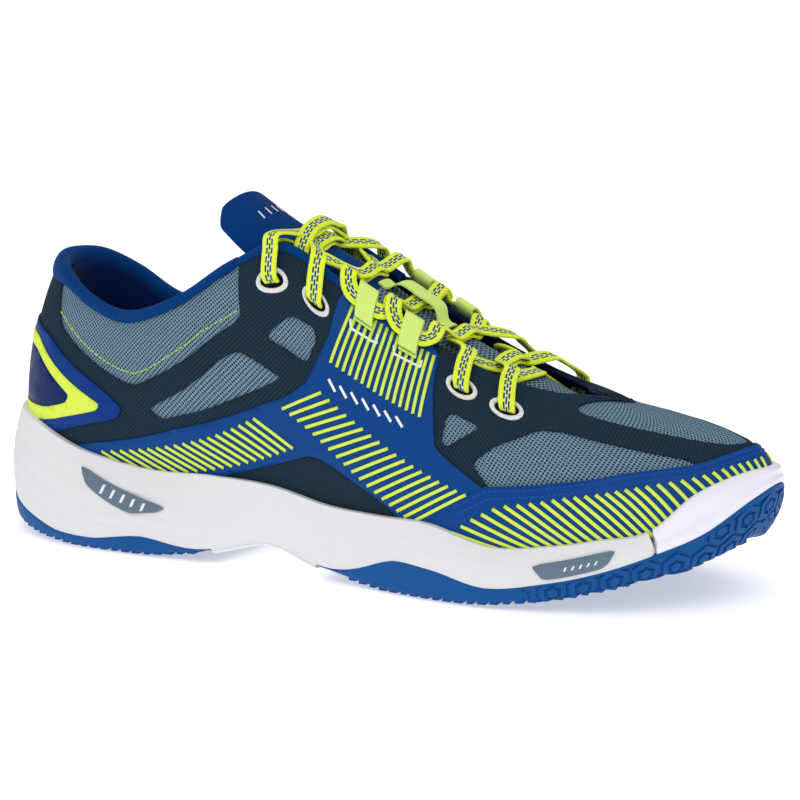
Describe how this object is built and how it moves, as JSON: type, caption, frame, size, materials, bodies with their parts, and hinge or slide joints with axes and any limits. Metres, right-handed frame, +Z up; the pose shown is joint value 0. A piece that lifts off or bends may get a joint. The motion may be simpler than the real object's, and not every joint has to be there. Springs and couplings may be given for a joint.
{
  "type": "court shoe",
  "caption": "Low-cut right court shoe: mesh upper with dark and blue overlays, lime laces, pale foam midsole and blue tread.",
  "frame": {"origin": "middle of the bounding box in plan, on the ground under the shoe", "axes": "+X from heel to toe, +Z up, -Y towards the lateral (outer) side of a right shoe"},
  "size_m": [0.3, 0.1048, 0.1285],
  "materials": {
    "mesh": "open warp-knit mesh",
    "dark_film": "thin welded film, satin",
    "vamp_film": "thin welded film, satin",
    "blue_film": "synthetic overlay, satin",
    "lime_film": "printed film",
    "collar_knit": "fine padded knit",
    "foam": "open-cell foam",
    "lining": "brushed lining",
    "board": "pressed fibre board",
    "midsole_foam": "moulded foam skin",
    "lime_rubber": "moulded",
    "insert_plastic": "moulded, smooth",
    "outsole_rubber": "moulded tread",
    "bumper_rubber": "moulded, glossy",
    "lace": "flat woven",
    "aglet_plastic": "clear shrunk film",
    "webbing": "woven webbing",
    "white_stitch": "satin-stitched thread"
  },
  "bodies": {
    "shoe": {"upper_mesh": "mesh", "quarter_film_lateral": "dark_film", "quarter_film_medial": "dark_film", "vamp_film": "vamp_film", "saddle_lateral": "blue_film", "saddle_medial": "blue_film", "rear_band_lateral": "blue_film", "rear_band_medial": "blue_film", "mudguard": "blue_film", "heel_patch": "blue_film", "heel_badge": "lime_film", "collar_binding": "collar_knit", "collar_foam": "foam", "collar_lining": "lining", "heel_counter": "board", "toe_puff": "board", "strobel_board": "board", "midsole": "midsole_foam", "heel_cushion": "lime_rubber", "heel_insert_lateral": "insert_plastic", "heel_insert_medial": "insert_plastic", "forefoot_insert_lateral": "insert_plastic", "forefoot_insert_medial": "insert_plastic", "outsole_heel": "outsole_rubber", "outsole_forefoot": "outsole_rubber", "toe_bumper": "bumper_rubber", "tongue_lower": "mesh", "lace": "lace", "aglet_lateral": "aglet_plastic", "aglet_medial": "aglet_plastic", "lace_keeper": "webbing", "eyelet_ring_lateral_1": "white_stitch", "eyelet_ring_lateral_2": "white_stitch", "eyelet_ring_lateral_3": "white_stitch", "eyelet_ring_lateral_4": "white_stitch", "webbing_loop_lateral_1": "webbing", "webbing_loop_lateral_2": "webbing", "eyelet_ring_medial_1": "white_stitch", "eyelet_ring_medial_2": "white_stitch", "eyelet_ring_medial_3": "white_stitch", "eyelet_ring_medial_4": "white_stitch", "webbing_loop_medial_1": "webbing", "webbing_loop_medial_2": "webbing"},
    "tongue_flap": {"tongue_tip": "collar_knit"},
    "sockliner": {"insole": "lining"}
  },
  "joints": [
    {"name": "tongue_flex", "type": "hinge", "parent": "shoe", "child": "tongue_flap", "pos_m": [-0.039, 0, 0.116], "axis": [0, 1, 0], "range_deg": [-5, 20], "stiffness_Nm_per_rad": 0.12},
    {"name": "insole_lift", "type": "hinge", "parent": "shoe", "child": "sockliner", "pos_m": [0.128, 0, 0.026], "axis": [0, 1, 0], "range_deg": [0, 4]}
  ]
}
